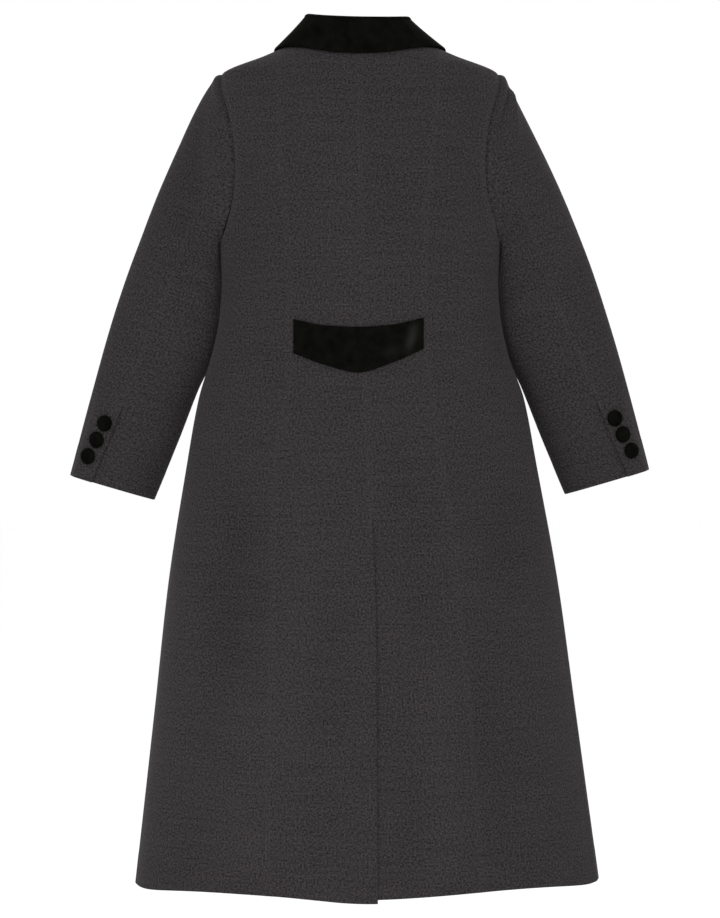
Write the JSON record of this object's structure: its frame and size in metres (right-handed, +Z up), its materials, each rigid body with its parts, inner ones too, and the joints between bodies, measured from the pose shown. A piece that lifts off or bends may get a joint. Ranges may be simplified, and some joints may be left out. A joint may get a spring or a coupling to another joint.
{
  "type": "overcoat",
  "caption": "Full-length tailored wool overcoat, filled out as worn and open inside, with a velvet collar, a velvet half belt across the back waist, a deep back vent and covered buttons.",
  "frame": {"origin": "middle of the neck opening, level with the neck ends of the two shoulder seams, where the shoulders carry the coat", "axes": "+Z up the body, +Y forward from the wearer, +X to the wearer's right; the back of the coat faces -Y"},
  "size_m": [0.819, 0.3138, 1.224],
  "materials": {
    "wool": "matt milled wool coating, dark heather grey",
    "velvet": "short-pile black velvet",
    "covered_button": "domed button covered with black velvet"
  },
  "bodies": {
    "root": {"back_left": "wool", "back_right": "wool", "side_back_left": "wool", "side_back_right": "wool", "side_front_left": "wool", "side_front_right": "wool", "front_left": "wool", "front_right": "wool", "top_sleeve_left": "wool", "top_sleeve_right": "wool", "under_sleeve_left": "wool", "under_sleeve_right": "wool", "collar": "velvet", "half_belt": "velvet", "sleeve_button_left_1": "covered_button", "sleeve_button_left_2": "covered_button", "sleeve_button_left_3": "covered_button", "sleeve_button_right_1": "covered_button", "sleeve_button_right_2": "covered_button", "sleeve_button_right_3": "covered_button", "front_button_1": "covered_button", "front_button_2": "covered_button", "front_button_3": "covered_button", "front_button_4": "covered_button", "front_button_5": "covered_button"}
  },
  "joints": []
}
